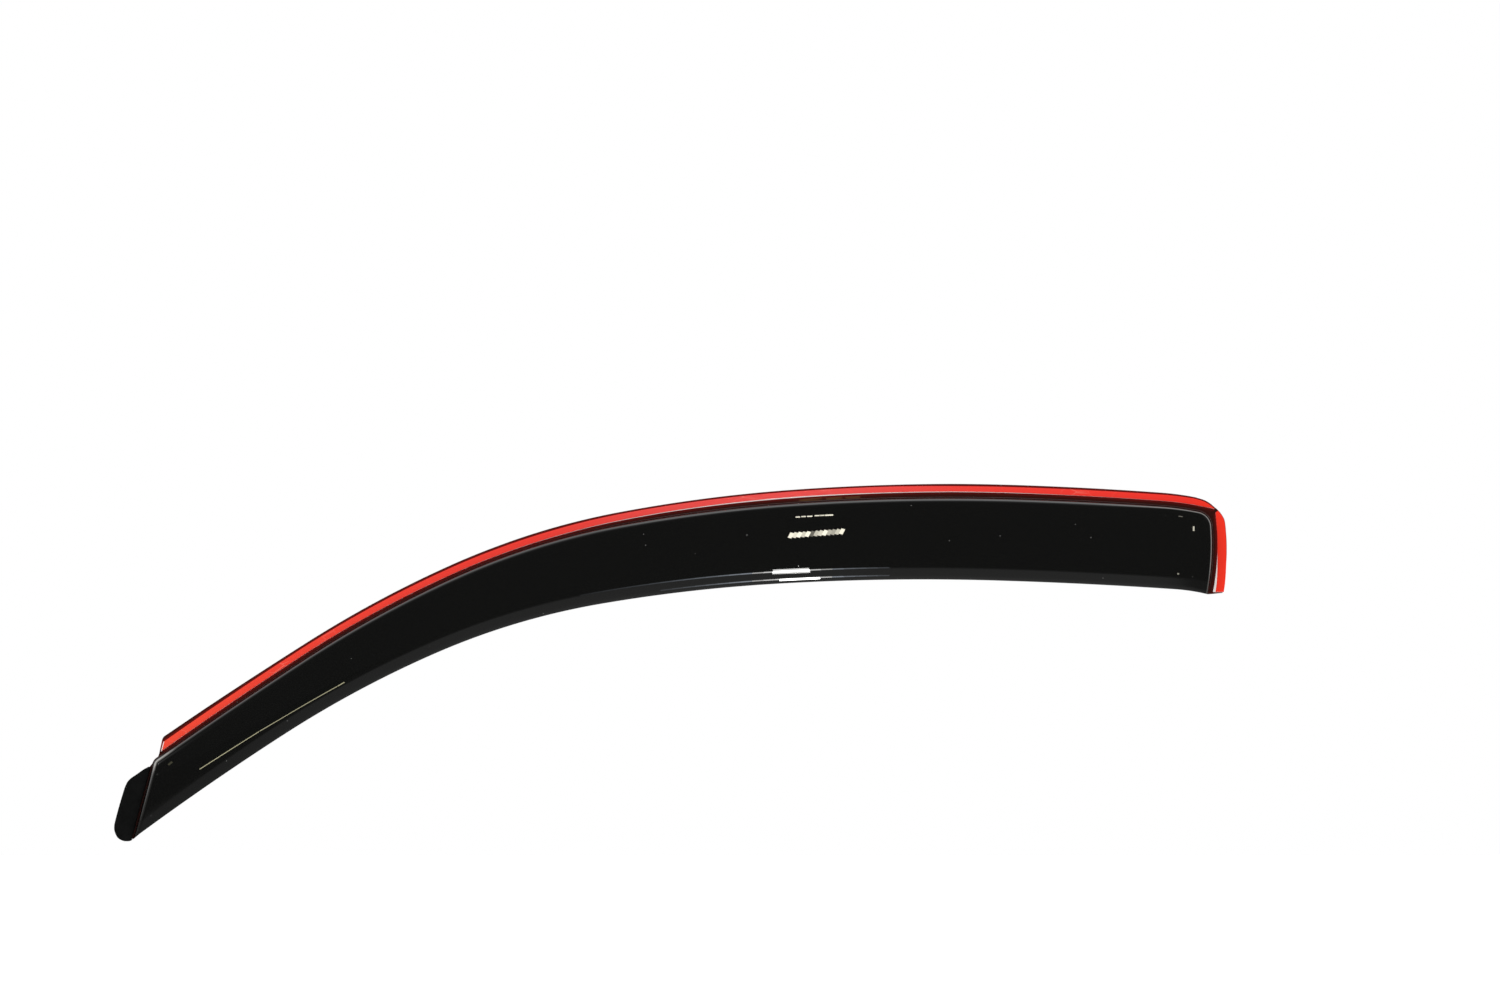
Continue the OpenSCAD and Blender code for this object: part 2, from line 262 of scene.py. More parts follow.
def flatPoint(s, d):
    # the two cut ends of the line lean with the distance from it
    fade = outline["trimFade"]
    s += outline["frontTrim"] * max(0, d) * ease(1 - s / fade)
    s += outline["rearTrim"] * min(0, d) * ease((s - endS) / fade + 1)
    x, z, head = panelLine.at(s)
    a = math.radians(head)
    return x + d * math.sin(a), z - d * math.cos(a)


def onFlange(s, d, h):
    return seat(*flatPoint(s, d), h)


def reachAt(s):
    # how far the flange reaches out: the tab at the front, the slanted cut, then the flange itself
    sec = shellSection
    start = topS + sec["endFrom"]
    if s < start:
        return lookUp(s, sec["tab"])
    f, bend = min(1, (s - start) / sec["endRun"]), sec["endBend"]
    grown = 2 * f / (1 + bend) if f < bend else 1 - (1 - f) ** 2 / (1 - bend**2)
    return mix(sec["tab"][-1][1], flangeAt(s) - cutAt(s), grown)


def newMesh(name, points, faces, sharpAngle):
    mesh = bpy.data.meshes.new(name)
    mesh.from_pydata([tuple(p) for p in points], [], faces)
    mesh.validate()
    mesh.update()
    for poly in mesh.polygons:
        poly.use_smooth = True
    mesh.set_sharp_from_angle(angle=math.radians(sharpAngle))
    piece = bpy.data.objects.new(name, mesh)
    bpy.context.scene.collection.objects.link(piece)
    return piece


# The moulded shell: the step section follows the panel line, and a ruled patch fills the panel.

shellMesh = {
    "cornerRows": 8,
    "midRows": 12,
    "lipRows": [14, 13, 12.2, 11.6, 11.3, 11.1, 10.9, 10.7, 10.5, 10.3, 10.1, 9.9, 9.7, 9.5, 9.2, 8.4,
                7.4, 6.5, 5.6, 4.9, 4.4, 4, 3.6, 3.2, 2.8, 2.4, 2, 1.6, 1.3, 1, 0.7, 0.4, 0.2, 0],
    "frontStations": [0, 2, 4, *range(6, 28)],
    "runFrom": 28,
    "runStep": 5.0,
    "browShare": 0.1,
    "edgeSteps": 3,
    "flangeRows": (0.1, 0.2, 0.35, 0.5, 0.6, 0.68, 0.76, 0.84, 0.92),
    "footSteps": 6,
    "browSteps": 12,
    "sharp": 50,
    # the flange's painted light: its share at the front end, and how the painted red glow spreads from the
    # tapes
    "frontFlangeLight": 0.5,
    "glowFrom": 8,
    "glowReach": 3.0,
    "glowHeight": 1,
    "glowFade": 0.7,
    # how strongly the rounding gets a painted highlight, by place from the rear and from the front corner,
    # and on which slope
    "rearHighlight": [(-90, 0), (-30, 0.27), (0, 0.38), (50, 0.33), (80, 0.16)],
    "frontHighlight": [(-60, 0.03), (-14, 0.06), (-5, 1), (9, 0.7), (20, 0.06), (60, 0)],
    "highlightSlope": 40,
    "highlightSpread": 24,
}


def sectionPoints(w, top, tilt, big):
    # from the flange's outer edge to the panel: distance from the panel line, height, and slope
    sec, mesh = shellSection, shellMesh
    b, tilt = math.radians(sec["stepAngle"]), math.radians(tilt)
    r = sec["footR"]
    d0 = -r * math.tan(b / 2)
    h1 = top - big * (math.cos(tilt) - math.cos(b))
    d1 = d0 + r * math.sin(b) + (h1 - r * (1 - math.cos(b))) / math.tan(b)
    run = w + d0
    e = min(sec["edgeRound"], sec["edgeShare"] * run)
    points = []
    for k in range(mesh["edgeSteps"] + 1):  # the rounded outer edge
        a = math.radians(90 * (1 - k / mesh["edgeSteps"]))
        points.append((-w + e * (1 - math.sin(a)), -sec["edgeRound"] * (1 - math.cos(a)), a))
    for f in mesh["flangeRows"]:
        points.append((-w + f * run, 0, 0))
    for k in range(mesh["footSteps"] + 1):
        a = b * k / mesh["footSteps"]
        points.append((d0 + r * math.sin(a), r * (1 - math.cos(a)), a))
    for k in range(mesh["browSteps"] + 1):
        a = mix(b, tilt, k / mesh["browSteps"])
        points.append((d1 + big * (math.sin(b) - math.sin(a)), h1 + big * (math.cos(a) - math.cos(b)), a))
    return points


def innerPoint(k, q):
    wall = shellSection["wall"]
    if k <= shellMesh["edgeSteps"]:  # the outer edge is rounded on its inner side too
        return q[0], -wall - q[1]
    return q[0] + wall * math.sin(q[2]), q[1] - wall * math.cos(q[2])


def tangentInner(d, past):
    # the strips are cut straight, so their inner sides leave the corner on a tangent
    if past <= 0:
        return d
    r = outline["rearCornerR"]
    return r - (r - d) / math.cos(math.radians(past / rearArc * outline["rearCornerTurn"]))


def topLineD(s):
    return tape["margin"] + tape["drift"] * max(0, 1 - (s - topS) / tape["driftRun"]) - flangeAt(s)


def topOuterD(s):
    return topLineD(s) + cutAt(s) + lookUp(s - topS, tape["outerIn"])


def topInnerD(s):
    return tangentInner(topLineD(s) + tape["width"] + lookUp(s - topS, tape["innerIn"]), s - cornerS)


def rearOuterD(s):
    return tape["rearMargin"] - flangeAt(s) + cutAt(s)


def rearInnerD(s):
    return tangentInner(tape["rearMargin"] - flangeAt(endS) + tape["rearWidth"], rearS - s)


def lowerEnd(s):
    # grows from 0 to 1 down the rear strip
    start = tape["bareFrom"]
    return ease((s - rearS - start) / (outline["rearEdge"] - start))


def glowAt(s, d):
    # how strongly the flange is painted with the red glow of the tape beside it, a painted reflection
    mesh = shellMesh
    if topS + mesh["glowFrom"] < s < cornerS + rearArc * tape["topEnd"]:
        low, high = topOuterD(s), topInnerD(s)
    elif s > cornerS + rearArc * tape["rearStart"]:
        low, high = rearOuterD(s), rearInnerD(s)
    else:
        return 0.0
    away = max(low - d, d - high, 0)
    return (1 - mesh["glowFade"] * lowerEnd(s)) * max(0.0, 1 - away / mesh["glowReach"]) ** 2


def browScuff(s, slope):
    # the rounding between step and panel gets a pale painted highlight at both corners, strongest on one
    # slope
    mesh = shellMesh
    atRear = s > cornerS + mesh["rearHighlight"][0][0]
    amount = lookUp(s - cornerS, mesh["rearHighlight"]) if atRear else lookUp(s - topS, mesh["frontHighlight"])
    return amount * max(0.0, 1 - abs(slope - mesh["highlightSlope"]) / mesh["highlightSpread"])


def wallStations(middle, corner, end, meet):
    # from the middle of a corner to its end, down the wall, then row by row over the lip
    mesh = shellMesh
    nc, nm = mesh["cornerRows"], mesh["midRows"]
    way = 1 if corner > end else -1
    lipAt = [end + way * a / math.sin(math.radians(meet)) for a in mesh["lipRows"]]
    return ([mix(middle, corner, j / nc) for j in range(nc + 1)]
            + [mix(corner, lipAt[0], j / (nm + 1)) for j in range(1, nm + 1)] + lipAt)


def topStations():
    # between the middles of the two corners, close together past the front one
    mesh = shellMesh
    nc = mesh["cornerRows"]
    return ([frontMid, frontMid + frontArc / 4] + [topS + a for a in mesh["frontStations"]]
            + ladder(topS + mesh["runFrom"], cornerS, mesh["runStep"])
            + [mix(cornerS, rearMid, j / nc) for j in range(1, nc + 1)])


def depthBelow(s, low):
    # the panel's depth under a place on its top line, square to the lower edge
    x, z = flatPoint(s, shellSection["panelInset"])
    v = (low[0] - x, low[1] - z)
    return math.hypot(*v) * math.sin(math.radians(low[2]) - math.atan2(v[1], v[0]))


class ShellGrid:
    # the panel's columns and rows, and the ring of step sections round its front, top and rear
    def __init__(self):
        meetFront = outline["frontRake"] - outline["lowSlope"]
        meetRear = sum(lineTurns) - sum(outline["lowTurns"]) - meetFront
        front = wallStations(frontMid, outline["frontEdge"], 0, meetFront)
        top = topStations()
        rear = wallStations(rearMid, rearS, endS, meetRear)
        self.rows, self.cols = len(front) - 1, len(top) - 1
        self.stations = front[:0:-1] + top + rear[1:]
        self.along = [(s - frontMid) / (rearMid - frontMid) for s in top]
        self.low = [lowEdge.at(u * lowEnd) for u in self.along]
        self.depth = [depthBelow(s, low) for s, low in zip(top, self.low)]
        self.sections = [self.sectionAt(c, s) for c, s in enumerate(self.stations)]
        self.brow = [flatPoint(s, points[-1][0]) for s, points in zip(self.stations, self.sections)]

    def share(self, i, j):
        # how far down the panel a row lies, from 0 at the brow to 1 at the lower edge
        mesh = shellMesh
        nc, nm, first = mesh["cornerRows"], mesh["midRows"], mesh["browShare"]
        if j <= nc:
            return first * j / nc
        lip = 1 - mesh["lipRows"][max(0, j - nc - nm - 1)] / self.depth[i]
        return mix(first, lip, (j - nc) / (nm + 1)) if j <= nc + nm else lip

    def height(self, i, j):
        sec, mesh = shellSection, shellMesh
        u, f = self.along[i], self.share(i, j)
        lipRow = j - mesh["cornerRows"] - mesh["midRows"] - 1
        drop = 0 if lipRow < 0 else smoothLookUp(mesh["lipRows"][lipRow], sec["lip"])
        (front, frontRun), (rear, rearRun) = sec["lipFront"], sec["lipRear"]
        part = min(mix(front, 1, ease(u / frontRun)), mix(rear, 1, ease((1 - u) / rearRun)))
        rise = mix(sec["riseFront"], sec["riseRear"], ease(u / sec["riseShare"]))
        return rise + sec["lean"] * f + 4 * sec["crown"] * f * (1 - f) - drop * part

    def sectionAt(self, c, s):
        sec, rows, cols = shellSection, self.rows, self.cols
        if c < rows:
            top = self.height(0, rows - c)
        elif c <= rows + cols:
            top = self.height(c - rows, 0)
        else:
            top = self.height(cols, c - rows - cols)
        steepest = math.degrees(math.atan((sec["lean"] + 4 * sec["crown"]) / sec["panelDepth"]))
        tilt = steepest * min(ease((s - outline["frontEdge"]) / frontArc), ease((rearS - s) / rearArc))
        return sectionPoints(reachAt(s), top, tilt, lookUp(s - cornerS, sec["brow"]))

    def ring(self, i, j):
        # the station at a spot on the panel's rim
        return self.rows + i if j == 0 else self.rows - j if i == 0 else self.rows + self.cols + j

    def patchPoint(self, i, j):
        # ruled from the brow to the lower edge, and drawn to the walls' own lines at both ends
        rows, cols, brow, low = self.rows, self.cols, self.brow, self.low
        u, pull = self.along[i], shellSection["endPull"]
        out = []
        for k in (0, 1):
            front = brow[self.ring(0, j)][k] - mix(brow[rows][k], low[0][k], self.share(0, j))
            rear = brow[self.ring(cols, j)][k] - mix(brow[rows + cols][k], low[cols][k], self.share(cols, j))
            ruled = mix(brow[rows + i][k], low[i][k], self.share(i, j))
            out.append(ruled + (1 - u) ** pull * front + u**pull * rear)
        return out


def shellFaces(grid):
    n, m, rows, cols = len(grid.stations), len(grid.sections[0]), grid.rows, grid.cols
    last = n - 1

    def stripI(c, r, back):
        return back * n * m + c * m + r

    def panelI(i, j, back):
        if j == 0 or i in (0, cols):
            return stripI(grid.ring(i, j), m - 1, back)
        return 2 * n * m + back * (cols - 1) * rows + (i - 1) * rows + j - 1

    faces = []
    for back in (0, 1):
        for index, wide, high in ((stripI, last, m - 1), (panelI, cols, rows)):
            for c in range(wide):
                for r in range(high):
                    quad = [index(c, r, back), index(c + 1, r, back),
                            index(c + 1, r + 1, back), index(c, r + 1, back)]
                    faces.append(quad[::-1] if back else quad)
    # the cut faces between the outer and the inner side
    for c in range(last):
        faces.append([stripI(c, 0, 0), stripI(c, 0, 1), stripI(c + 1, 0, 1), stripI(c + 1, 0, 0)])
    for r in range(m - 1):
        faces.append([stripI(0, r, 0), stripI(0, r + 1, 0), stripI(0, r + 1, 1), stripI(0, r, 1)])
        faces.append([stripI(last, r + 1, 0), stripI(last, r, 0), stripI(last, r, 1), stripI(last, r + 1, 1)])
    for i in range(cols):
        faces.append([panelI(i, rows, 0), panelI(i + 1, rows, 0), panelI(i + 1, rows, 1), panelI(i, rows, 1)])
    return faces


def buildShell():
    sec, mesh = shellSection, shellMesh
    grid = ShellGrid()
    browFrom = len(grid.sections[0]) - mesh["browSteps"] - 1
    outer, inner, flangeLight, glow, browHighlight = [], [], [], [], []
    for s, section in zip(grid.stations, grid.sections):
        # the flange gets painted light through the thin acrylic, half as much at the front end
        red = mix(mesh["frontFlangeLight"], 1, ease((s - outline["frontEdge"]) / frontArc))
        for k, q in enumerate(section):
            outer.append(onFlange(s, q[0], q[1]))
            inner.append(onFlange(s, *innerPoint(k, q)))
            flangeLight.append(red if k < browFrom - 1 else 0.0)
            glow.append(glowAt(s, q[0]) if q[1] < mesh["glowHeight"] else 0.0)
            browHighlight.append(browScuff(s, math.degrees(q[2])) if k >= browFrom else 0.0)
    points = outer + inner
    for back in (0, sec["wall"]):
        for i in range(1, grid.cols):
            for j in range(1, grid.rows + 1):
                points.append(seat(*grid.patchPoint(i, j), grid.height(i, j) - back))
    shell = newMesh("smokeShell", points, shellFaces(grid), mesh["sharp"])
    for label, values in (("paintedFlangeLight", flangeLight * 2), ("paintedTapeGlow", glow), ("browScuff", browHighlight)):
        values += [0.0] * (len(points) - len(values))
        shell.data.attributes.new(label, "FLOAT", "POINT").data.foreach_set("value", values)
    return shell


smokeShell = buildShell()
print("shell made", len(smokeShell.data.polygons), "faces")

# The tapes: pale foam with a red liner on it, cut a little unevenly.

tapeMesh = {
    "step": 3.0,
    "endGap": 1,
    "sideRows": 2,
    "acrossRows": 6,
    "foamRound": 0.12,
    "linerRound": 0.05,
    "roundMiddle": 0.3,
    "sharp": 40,
    # how far the liner stays back from the foam's lower side, by place along the tape
    "linerBack": [(0, 0.1), (300, 0.1), (420, 0.25), (520, 0.6), (620, 0.9), (700, 0.6), (800, 0.4),
                  (860, 0.15), (970, 0.1)],
    # wrinkles of the liners: their height, the room kept for them, and their lengths along the tape
    "liftFrom": 0.05,
    "wrinkle": 0.05,
    "wrinkleLengths": (17.0, 41.0),
    "wrinkleSway": 1.3,
    "rearWrinkle": 0.16,
    "rearRoom": 0.1,
    "rearLength": 4.3,
    "rearShares": (0.25, 0.6),
    "rearShift": 0.15,
    "rearFolds": [(12, 3.0, 1.0), (20, 2.5, 0.8)],  # place, width and depth of a fold
}


def stripProfile(low, high, roundness, sideRows):
    # closed outline of a strip's section: share across, height, how far a rounded corner is drawn in
    acrossRows = tapeMesh["acrossRows"]
    r = min(roundness, (high - low) / 3)
    middle = r * tapeMesh["roundMiddle"]
    points = [(1 - k / acrossRows, low, 0) for k in range(acrossRows + 1)]
    for k in range(1, sideRows + 1):
        points.append((0, low + (high - low - r) * k / sideRows, 0))
    points.append((0, high - middle, middle))
    for k in range(acrossRows + 1):
        points.append((k / acrossRows, high, r if k == 0 else -r if k == acrossRows else 0))
    points.append((1, high - middle, -middle))
    for k in range(1, sideRows + 1):
        points.append((1, high - r - (high - low - r) * k / (sideRows + 1), 0))
    return points


def buildStrip(name, stations, outerD, innerD, profile, lift):
    # the pairs of stations give the strip's two sides, so that its ends can be cut at a slant
    points, faces = [], []
    n, m = len(stations[0]), len(profile)
    for outerS, innerS in zip(*stations):
        for f, h, drawn in profile:
            s = mix(outerS, innerS, f)
            d = mix(outerD(outerS), innerD(innerS), f) + drawn
            rise = lift(s, f) if h > profile[0][1] + tapeMesh["liftFrom"] else 0
            points.append(onFlange(s, d, h + rise))
    for i in range(n - 1):
        for k in range(m):
            k2 = (k + 1) % m
            faces.append([i * m + k, i * m + k2, (i + 1) * m + k2, (i + 1) * m + k])
    faces.append(list(range(m))[::-1])
    faces.append([(n - 1) * m + k for k in range(m)])
    return newMesh(name, points, faces, tapeMesh["sharp"])


def slantedLadder(start, end, step):
    # stations for the outer and the inner side: they begin and end apart and run level in between
    gap = tapeMesh["endGap"]
    level = ladder(max(start) + gap, min(end) - gap, step)
    return [start[0]] + level + [end[0]], [start[1]] + level + [end[1]]


def noLift(s, f):
    return 0


def linerLift(s, f):
    m = tapeMesh
    short, long = m["wrinkleLengths"]
    wave = math.sin(s / short + m["wrinkleSway"] * math.sin(s / long))
    return m["wrinkle"] * (0.5 + 0.5 * wave) * math.sin(math.pi * f)


def rearLift(s, f):
    m = tapeMesh
    waveShare, foldShare = m["rearShares"]
    fold = sum(deep * math.exp(-((s - rearS - at) / wide) ** 2) for at, wide, deep in m["rearFolds"])
    wave = waveShare + waveShare * math.sin(s / m["rearLength"])
    return m["rearWrinkle"] * (wave + fold * foldShare) * math.sin(math.pi * min(1, f + m["rearShift"]))


def topLinerInnerD(s):
    return topInnerD(s) - lookUp(s - topS, tapeMesh["linerBack"])


def rearLinerOuterD(s):
    return rearOuterD(s) - tape["bareSide"] * tape["outerShare"] * lowerEnd(s)


def rearLinerInnerD(s):
    return rearInnerD(s) - tape["bareSide"] * lowerEnd(s)


def buildTapes():
    m, foam, face = tapeMesh, tape["foam"], tape["foam"] + tape["liner"]
    foamProfile = stripProfile(0, foam, m["foamRound"], m["sideRows"])
    linerProfile = stripProfile(foam, face - m["wrinkle"], m["linerRound"], 1)
    rearProfile = stripProfile(foam, face - m["rearRoom"], m["linerRound"], 1)
    starts = [topS + a for a in tape["start"]]
    bareStarts = [s + tape["bareEnd"] for s in starts]
    end = cornerS + rearArc * tape["topEnd"]
    ends = (end - rearArc * tape["endSlant"], end)
    rearStart = cornerS + rearArc * tape["rearStart"]
    rearEnds = [endS - a for a in tape["rearCut"]]
    foamRun = slantedLadder(starts, ends, m["step"])
    linerRun = slantedLadder(bareStarts, ends, m["step"])
    rearRun = slantedLadder((rearStart, rearStart), rearEnds, m["step"] / 2)
    return (buildStrip("topFoam", foamRun, topOuterD, topInnerD, foamProfile, noLift),
            buildStrip("topLiner", linerRun, topOuterD, topLinerInnerD, linerProfile, linerLift),
            buildStrip("rearFoam", rearRun, rearOuterD, rearInnerD, foamProfile, noLift),
            buildStrip("rearLiner", rearRun, rearLinerOuterD, rearLinerInnerD, rearProfile, rearLift))


topFoam, topLiner, rearFoam, rearLiner = buildTapes()
print("tapes made")

# The pad on the front tab: a flat rubber pad with softly rounded edges.

pad = {
    "gap": 1.4,
    "thick": 1.6,
    "width": [(-3.8, 9), (-3.4, 11.2), (-2.7, 13), (-1.9, 14.2), (-0.9, 15.2), (0, 16), (4, 18.4),
              (9, 19.4), (16, 19.5), (40, 18.9), (46, 18.1), (50, 16.4), (56, 11.5), (62, 6.4), (65, 3.2)],
    "toe": [(-3.8, 7), (-3.4, 5.2), (-2.7, 3), (-1.9, 1.7), (-0.9, 0.6)],
    "spine": (4, 60),  # the rim is drawn in toward the middle of the pad between these places
    "rounding": 0.9,
    "drawLimit": 0.9,
    "edgeRows": 5,
    "across": 6,
    "step": 0.6,
    "dish": 0.12,
    "sharp": 60,
}


def padCentre(s):
    s = min(max(s, pad["spine"][0]), pad["spine"][1])
    return s, mix(-smoothLookUp(s, pad["width"]), -pad["gap"], 0.5)


def padLevels():
    # how far the rim is drawn in at each height
    soft, thick = pad["rounding"], pad["thick"]
    levels = [(0.0, 0.0), (0.0, thick - soft)]
    for k in range(1, pad["edgeRows"] + 1):
        a = math.radians(90 * k / pad["edgeRows"])
        levels.append((soft * (1 - math.cos(a)), thick - soft * (1 - math.sin(a))))
    return levels


def padRim():
    # once round the pad, seen from outside
    places = ladder(pad["width"][0][0], pad["width"][-1][0], pad["step"])
    toe = pad["toe"] + [(0, pad["gap"])]
    outer = [(s, -smoothLookUp(s, pad["width"])) for s in places]
    return outer + [(s, -lookUp(s, toe)) for s in places[::-1]]


def buildPad():
    rim, levels, across = padRim(), padLevels(), pad["across"]
    points, faces = [], []
    n, last = len(rim), len(levels) - 1
    for inset, h in levels:
        for s, d in rim:
            cs, cd = padCentre(s)
            f = min(pad["drawLimit"], inset / max(math.hypot(cs - s, cd - d), 0.01))
            points.append(onFlange(mix(s, cs, f), mix(d, cd, f), h))
    for k in range(last):
        for i in range(n):
            j = (i + 1) % n
            faces.append([k * n + i, (k + 1) * n + i, (k + 1) * n + j, k * n + j])
    # the face between the two long sides, slightly dished
    grid = []
    for i in range(n // 2):
        a, b = last * n + i, last * n + (n - 1 - i)
        line = [a]
        for k in range(1, across):
            f = k / across
            dish = pad["dish"] * 4 * f * (1 - f) / 1000
            points.append(points[a].lerp(points[b], f) + Vector((0, dish, 0)))
            line.append(len(points) - 1)
        grid.append(line + [b])
    for la, lb in zip(grid, grid[1:]):
        for k in range(across):
            faces.append([la[k], la[k + 1], lb[k + 1], lb[k]])
    faces.append(list(range(n)))
    return newMesh("padBody", points, faces, pad["sharp"])


padBody = buildPad()
print("pad made")

dressed = [
    (smokeShell, "visor_shell", "smoke_plastic"),
    (topFoam, "top_foam_tape", "white_foam"),
    (topLiner, "top_red_liner", "red_film"),
    (rearFoam, "rear_foam_tape", "white_foam"),
    (rearLiner, "rear_red_liner", "red_film"),
    (padBody, "front_tab_pad", "black_pad"),
]
for piece, node, slot in dressed:
    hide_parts(node)
    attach(piece, "root")

# Materials. The shared effects are node groups that give out colours, masks and heights only.


def newGroup(name, outputs, **inputs):
    # a group that takes a vector and named values, whose kinds follow from their defaults
    group = bpy.data.node_groups.new(name, "ShaderNodeTree")
    for label, value in {"Vector": (0, 0, 0), **inputs}.items():
        kind = "Float" if isinstance(value, float) else "Vector" if len(value) == 3 else "Color"
        socket = group.interface.new_socket(name=label, in_out="INPUT", socket_type="NodeSocket" + kind)
        socket.default_value = value
    for label in outputs:
        kind = "Color" if label == "Color" else "Float"
        group.interface.new_socket(name=label, in_out="OUTPUT", socket_type="NodeSocket" + kind)
    return group, group.nodes.new("NodeGroupInput").outputs, group.nodes.new("NodeGroupOutput")


def feed(tree, node, values):
    # an input takes a fixed value, or a link from another node's output
    for key, value in values.items():
        if isinstance(value, (int, float, tuple)):
            node.inputs[key].default_value = value
        else:
            tree.links.new(value, node.inputs[key])
    return node


def addNode(tree, kind, values=(), **settings):
    node = tree.nodes.new(kind)
    for key, value in settings.items():
        setattr(node, key, value)
    return feed(tree, node, dict(values))


def mathNode(tree, operation, a, b=0.5, clamp=False):
    return addNode(tree, "ShaderNodeMath", {0: a, 1: b}, operation=operation, use_clamp=clamp).outputs[0]


def scaled(tree, value, gain, base=0):
    # value times gain, plus a number or another value
    return mathNode(tree, "ADD", mathNode(tree, "MULTIPLY", value, gain), base)


def rampMask(tree, value, low, high):
    # 0 at low, 1 at high, straight between
    values = {"Value": value, "From Min": low, "From Max": high}
    return addNode(tree, "ShaderNodeMapRange", values, clamp=True).outputs["Result"]


def colourMix(tree, factor, a, b, blend="MIX"):
    node = addNode(tree, "ShaderNodeMix", data_type="RGBA", blend_type=blend)
    return feed(tree, node, {"Factor": factor, "A": a, "B": b}).outputs["Result"]


def noiseAt(tree, vector, scale, detail, rough=0.5):
    values = {"Vector": vector, "Scale": scale, "Detail": detail, "Roughness": rough}
    return addNode(tree, "ShaderNodeTexNoise", values).outputs["Fac"]


def stretched(tree, vector, scale):
    return addNode(tree, "ShaderNodeMapping", {"Vector": vector, "Scale": scale}).outputs["Vector"]


def cellsAt(tree, vector, scale, feature="F1"):
    return addNode(tree, "ShaderNodeTexVoronoi", {"Vector": vector, "Scale": scale}, feature=feature).outputs


def axesOf(tree, vector):
    return addNode(tree, "ShaderNodeSeparateXYZ", {0: vector}).outputs


def mixShaders(tree, factor, a, b):
    return addNode(tree, "ShaderNodeMixShader", {0: factor, 1: a, 2: b}).outputs[0]


dustMarks = {"kept": 0.72, "hazeNoise": (7.0, 4.0, 0.6), "hazeRamp": (0.35, 0.75)}


def dustGroup(look):
    # two masks: sparse pale specks, and a slow haze
    group, into, out = newGroup("dustOnPlastic", ("Specks", "Haze"), Scale=60.0, Size=0.05)
    cells = cellsAt(group, into["Vector"], into["Scale"])
    near = mathNode(group, "LESS_THAN", cells["Distance"], into["Size"])
    keep = addNode(group, "ShaderNodeSeparateColor", {0: cells["Color"]}).outputs[0]
    some = mathNode(group, "GREATER_THAN", keep, look["kept"])
    haze = rampMask(group, noiseAt(group, into["Vector"], *look["hazeNoise"]), *look["hazeRamp"])
    feed(group, out, {"Specks": mathNode(group, "MULTIPLY", near, some), "Haze": haze})
    return group


sheetMarks = {"slowStretch": (6.0, 6.0, 14.0), "slowNoise": (1.0, 1.0, 0.4), "fineNoise": (180.0, 2.0, 0.5),
              "fineShare": 0.004}


def waveGroup(look):
    # the faint unevenness of a pressed sheet
    group, into, out = newGroup("sheetWave", ("Height",))
    slow = noiseAt(group, stretched(group, into["Vector"], look["slowStretch"]), *look["slowNoise"])
    fine = noiseAt(group, into["Vector"], *look["fineNoise"])
    feed(group, out, {"Height": scaled(group, fine, look["fineShare"], slow)})
    return group


filmMarks = {
    "shiftNoise": (3.0, 2.0),
    "shiftRamp": (0.35, 0.65),
    "lineStretch": (20.0, 200.0, 900.0),
    "lineNoise": (1.0, 2.0),
    "lineHeight": 0.3,
    "creaseStretch": (60.0, 60.0, 140.0),
    "creaseRamp": (0.05, 0.0),
    "patchNoise": (24.0, 2.0),
    "patchRamp": (0.58, 0.72),
    "paleShare": 0.35,
    "roughness": (0.12, 0.3),
}


def filmGroup(look):
    # red film: a slow shift of tone, fine lengthwise lines and small creases
    group, into, out = newGroup("filmTone", ("Color", "Roughness", "Height"), Tone=(0.8, 0.08, 0.06, 1),
                                Shade=(0.97, 0.85, 0.8, 1), Pale=(0.9, 0.3, 0.24, 1))
    vector = into["Vector"]
    shift = rampMask(group, noiseAt(group, vector, *look["shiftNoise"]), *look["shiftRamp"])
    tone = colourMix(group, shift, into["Tone"], into["Shade"], "MULTIPLY")
    lines = noiseAt(group, stretched(group, vector, look["lineStretch"]), *look["lineNoise"])
    creases = cellsAt(group, stretched(group, vector, look["creaseStretch"]), 1.0, "DISTANCE_TO_EDGE")
    crease = rampMask(group, creases["Distance"], *look["creaseRamp"])
    patch = rampMask(group, noiseAt(group, vector, *look["patchNoise"]), *look["patchRamp"])
    mark = mathNode(group, "MULTIPLY", crease, patch)
    pale = mathNode(group, "MULTIPLY", mark, look["paleShare"])
    feed(group, out, {"Color": colourMix(group, pale, tone, into["Pale"]),
                      "Roughness": scaled(group, lines, *look["roughness"]),
                      "Height": scaled(group, lines, look["lineHeight"], mark)})
    return group


cellMarks = {"scale": 2600.0, "poreRamp": (0.28, 0.12), "poreShare": 0.55, "stainNoise": (90.0, 3.0),
             "stainRamp": (0.4, 0.8), "stainShare": 0.3}


def cellGroup(look):
    # closed-cell foam: small pores on a pale ground
    group, into, out = newGroup("foamCells", ("Color", "Height"), Ground=(0.8, 0.76, 0.72, 1),
                                Pore=(0.55, 0.48, 0.44, 1))
    cells = cellsAt(group, into["Vector"], look["scale"])
    pore = rampMask(group, cells["Distance"], *look["poreRamp"])
    stain = rampMask(group, noiseAt(group, into["Vector"], *look["stainNoise"]), *look["stainRamp"])
    stain = mathNode(group, "MULTIPLY", stain, look["stainShare"])
    mask = mathNode(group, "ADD", mathNode(group, "MULTIPLY", pore, look["poreShare"]), stain, True)
    colour = colourMix(group, mask, into["Ground"], into["Pore"])
    feed(group, out, {"Color": colour, "Height": cells["Distance"]})
    return group


grainMarks = {"fineNoise": (1500.0, 3.0, 0.7), "broadNoise": (120.0, 3.0, 0.6), "shares": (0.5, 0.6),
              "wornRamp": (0.45, 0.72)}


